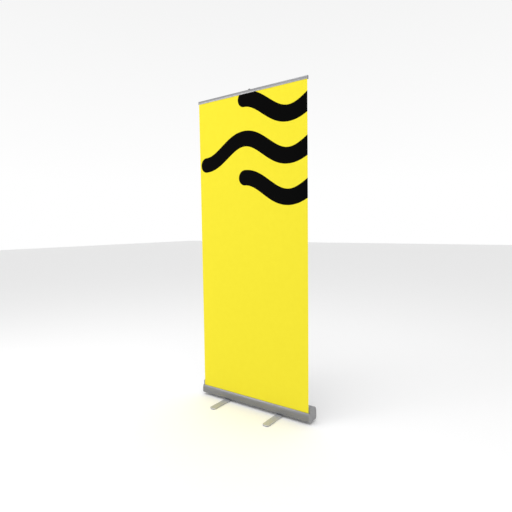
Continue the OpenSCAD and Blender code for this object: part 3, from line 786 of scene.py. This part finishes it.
def collar(level, outer_tube, inner_tube, body):
    """Bored sleeve: a straight grip, a cone above it, and two bores for the outer and the inner tube."""
    node = f"{level}_lock_collar"
    low, high = sizes(node)
    grip = (high[0] - low[0]) / 2 - RIB_HEIGHT
    bottom, top = low[2], high[2]
    cone = top - 5 * MM
    bore_step = top - 4 * MM
    ease = 0.8 * MM
    grip_z = np.linspace(bottom + ease, cone - ease, 25)
    profile = np.vstack([
        [[outer_tube + 0.15 * MM, bottom], [grip - ease, bottom]],
        arc((grip - ease, bottom + ease), ease, -90, 0, 5)[1:],
        np.column_stack([np.full(23, grip), grip_z[1:-1]]),
        corner((grip, bottom), (grip, cone), (grip - 2 * MM, top), 2 * MM, 5),
        corner((grip, cone), (grip - 2 * MM, top), (inner_tube, top), 0.6 * MM, 4),
        corner((grip, top), (inner_tube + 0.3 * MM, top), (inner_tube + 0.3 * MM, bore_step), 0.3 * MM, 3),
        [[inner_tube + 0.3 * MM, bore_step], [outer_tube + 0.15 * MM, bore_step - 3 * MM]],
    ])

    def ribs(angle, z):
        inside = fade(z, bottom + 2.5 * MM, bottom + 6 * MM) * (1 - fade(z, cone - 6 * MM, cone - 2.5 * MM))
        return RIB_HEIGHT * np.maximum(0, np.cos(RIBS * angle)) * inside
    on_grip = profile[:, 0] > grip - 0.1 * MM

    def ripple(angle, z):
        return ribs(angle, z) * on_grip[:, None]
    name = f"{level}_collar_ribbed"
    rings = turned(profile, (pole_x, pole_y), RIBS * 16, ripple)
    return place(name, loft(name, rings, wrap=True), body, slots[node], [node])


tube_radii = {n: (sizes(f"pole_{n}_tube")[1][0]) for n in ("lower", "middle", "top")}
collar("lower", tube_radii["lower"], tube_radii["middle"], "lower_collar")
collar("upper", tube_radii["middle"], tube_radii["top"], "upper_collar")
print("tube radii in mm", {n: round(r * 1000, 2) for n, r in tube_radii.items()})

# %% [markdown]
# ## Rail
# The rail's front is a snap jaw: a bar with a gently bulged outer face, hung from a bead along its top.
# Its section is one closed line: the bulge, the upper edge, down the flat inner face, round the bead and
# on down.

# %% Jaw
jaw_low, jaw_high = sizes("rail_jaw")
bead_y, bead_z = joints["jaw_open"]["pos_m"][1:]
BULGE = 30 * MM
BEAD = 2 * MM
NECK = 0.7 * MM
jaw_inner = jaw_low[1] + 2.4 * MM
jaw_middle = (jaw_low[2] + jaw_high[2]) / 2
jaw_half = math.degrees(math.asin((jaw_high[2] - jaw_low[2]) / 2 / BULGE))
bulge_face = arc((jaw_low[1] + BULGE, jaw_middle), BULGE, 180 - jaw_half, 180 + jaw_half, 32)
neck_root = 180 - math.degrees(math.asin(NECK / BEAD))
EDGE_EASE = 0.3 * MM
jaw_line = np.vstack([
    corner((jaw_inner, jaw_high[2]), bulge_face[0], bulge_face[3], EDGE_EASE),
    bulge_face[3:-3],
    corner(bulge_face[-4], bulge_face[-1], (jaw_inner, jaw_low[2]), EDGE_EASE),
    corner(bulge_face[-1], (jaw_inner, jaw_low[2]), (jaw_inner, jaw_middle), EDGE_EASE),
    [[jaw_inner, bead_z - NECK]],
    arc((bead_y, bead_z), BEAD, -neck_root, neck_root, 24),
    [[jaw_inner, bead_z + NECK]],
    corner((jaw_inner, jaw_middle), (jaw_inner, jaw_high[2]), bulge_face[0], EDGE_EASE),
])
jaw_places = np.linspace(jaw_low[0], jaw_high[0], 25)
jaw_rings = along_x([jaw_line] * len(jaw_places), jaw_places)
place("rail_jaw_bar", loft("rail_jaw_bar", jaw_rings), "jaw", "rail_silver", ["rail_jaw"])
print("jaw line has", len(jaw_line), "points")

# %% [markdown]
# ### Rail caps
# A cap is a rounded box in section, rolled over at its outer face like the housing's caps.

# %% Rail caps
RAIL_CORNER = 1.2 * MM
CAP_ROLL = 0.9 * MM


def rail_cap(side):
    node = "rail_cap_right" if side > 0 else "rail_cap_left"
    low, high = sizes(node)
    face = max(abs(low[0]), abs(high[0]))
    seat = face - 2 * MM
    quarter = np.radians(np.linspace(0, 90, 7))
    stations = [(seat, 0)]
    stations += [(face - CAP_ROLL * (1 - math.sin(a)), CAP_ROLL * (1 - math.cos(a))) for a in quarter]
    stations.append((face, CAP_ROLL + 0.3 * MM))

    def outline(inset):
        y0, y1, z0, z1 = low[1] + inset, high[1] - inset, low[2] + inset, high[2] - inset
        radius = max(RAIL_CORNER - inset, 0.2 * MM)
        return rounded([(y, z, radius) for y, z in ((y0, z0), (y1, z0), (y1, z1), (y0, z1))])
    rings = along_x([outline(inset) for _, inset in stations], [side * x for x, _ in stations])
    return place(node + "_rolled", loft(node + "_rolled", rings), "rail", slots[node], [node])


for side in (1, -1):
    rail_cap(side)
print("rail caps made")

# %% [markdown]
# ## The film
# The film is cut 850 mm wide. It is clamped under the jaw and hangs flat, through the slot and down
# before the roller. It is a thin closed sheet: each ring goes across the front and back again behind it,
# and the rings follow the film's height. Its free edges lean back by about a millimetre, as a wound
# film's do. When the pole is lowered the film winds in.

# %% Film
wrap_low, wrap_high = sizes("film_wrap")
roller_y, roller_z = joints["roller_spin"]["pos_m"][1:]
FILM = 0.3 * MM
CURL = 1.3 * MM
film_top, film_bottom = film_high[2], film_low[2]
slot_z = ledge_z(film_y)
rail_bottom = jaw_low[2]
heights = np.concatenate([np.linspace(film_bottom, slot_z - 4 * MM, 6), np.linspace(slot_z, rail_bottom, 60),
                          [(rail_bottom + film_top) / 2, film_top]])
across = np.linspace(film_low[0], film_high[0], 61)
free = fade(heights, slot_z + 0.05, slot_z + 0.5)
free *= 1 - fade(heights, rail_bottom - 0.45, rail_bottom - 0.02)
from_edge = np.clip(1 - (film_high[0] - np.abs(across)) / 0.06, 0, 1)
curl = CURL * free[:, None] * (from_edge ** 2)[None, :]


def face_of_film(offset):
    """Points of one side of the film, as a grid of heights by widths: y is the film's plane plus the curl
    plus the offset."""
    return np.stack([np.broadcast_to(across, curl.shape), film_y + curl + offset,
                     np.broadcast_to(heights[:, None], curl.shape)], -1)


film_rings = np.concatenate([face_of_film(-FILM / 2), face_of_film(FILM / 2)[:, ::-1]], 1)
film = place("film_sheet", loft("film_sheet", film_rings), "rail", "film", ["banner"])
film.data.materials.append(film_back)
facing = np.empty(len(film.data.polygons) * 3, np.float32)
film.data.polygons.foreach_get("normal", facing)
film.data.polygons.foreach_set("material_index", (facing.reshape(-1, 3)[:, 1] > 0.5).astype(np.int32))
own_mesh(film)

# %% [markdown]
# ### The leader on the roller
# The film's unprinted leader is wound on the roller: a flat strip whose path is a spiral. The radius
# grows evenly with the angle, by about one film thickness each turn.

# %% Wound leader
TURNS = 4
inner_radius = sizes("roller_tube")[1][1] - roller_y + 0.1 * MM
angles = np.linspace(0, 2 * np.pi * TURNS, 64 * TURNS + 1)
spiral = inner_radius + (wrap_high[1] - roller_y - inner_radius - FILM) * angles / angles[-1]
corners = [(wrap_low[0], 0), (wrap_high[0], 0), (wrap_high[0], FILM * 0.9), (wrap_low[0], FILM * 0.9)]
leader_rings = np.stack([
    np.stack([np.full(len(angles), x), roller_y + (spiral + grow) * np.cos(angles),
              roller_z + (spiral + grow) * np.sin(angles)], -1)
    for x, grow in corners], 1)
leader = place("wound_leader", loft("wound_leader", leader_rings), "roller", "film", ["film_wrap"])
leader.data.materials.clear()
leader.data.materials.append(film_back)
print("leader", TURNS, "turns,", round(float(spiral.mean() * angles[-1]), 2), "m long")

# %% [markdown]
# ## Floor and light
# The stand is shown on a plain pale floor under soft light. The surroundings are white at eye height and
# a little dimmer overhead. A wide lamp hangs over the front, and a smaller one stands low at the left.
# The curved brow of the housing mirrors the small one, which draws a light band along its top.

# %% Floor
floor_mesh = bpy.data.meshes.new("floor")
reach = 25.0
floor_mesh.from_pydata([(-reach, -reach, 0), (reach, -reach, 0), (reach, reach, 0), (-reach, reach, 0)], [],
                       [(0, 1, 2, 3)])
floor_finish, _, _ = shader("floor_finish", (0.92, 0.92, 0.92), Roughness=0.8)
floor_mesh.materials.append(floor_finish)
floor = bpy.data.objects.new("floor", floor_mesh)
bpy.context.scene.collection.objects.link(floor)

# %% Light
world = bpy.data.worlds.new("studio")
world.use_nodes = True
bpy.context.scene.world = world
sky = world.node_tree
background = next(n for n in sky.nodes if n.type == "BACKGROUND")
direction = add(sky, "ShaderNodeTexCoord").outputs["Generated"]
height = add(sky, "ShaderNodeSeparateXYZ", {0: direction}).outputs[2]
walls = blend_colors(sky, spread(sky, height, 0.1, 0.9, 0, 1), (1.0, 1.0, 1.0), (0.80, 0.80, 0.80))
sky.links.new(walls, background.inputs["Color"])


def soft_light(name, place_m, aim, size, power):
    """A square light at a place, turned to face its aim, of a size in metres, and not seen itself."""
    data = bpy.data.lights.new(name, "AREA")
    data.shape, data.size, data.energy = "SQUARE", size, power
    light = bpy.data.objects.new(name, data)
    light.location = place_m
    light.rotation_euler = (Vector(aim) - Vector(place_m)).to_track_quat("-Z", "Y").to_euler()
    light.visible_camera = False
    bpy.context.scene.collection.objects.link(light)


soft_light("front_light", (-2.5, -3.4, 1.7), (0, 0, 0.4), 1.4, 26)
soft_light("top_light", (0.0, -1.2, 4.8), (0, 0, 0), 3.0, 70)
bpy.context.scene.view_settings.view_transform = "Standard"
print("lights and floor in place")
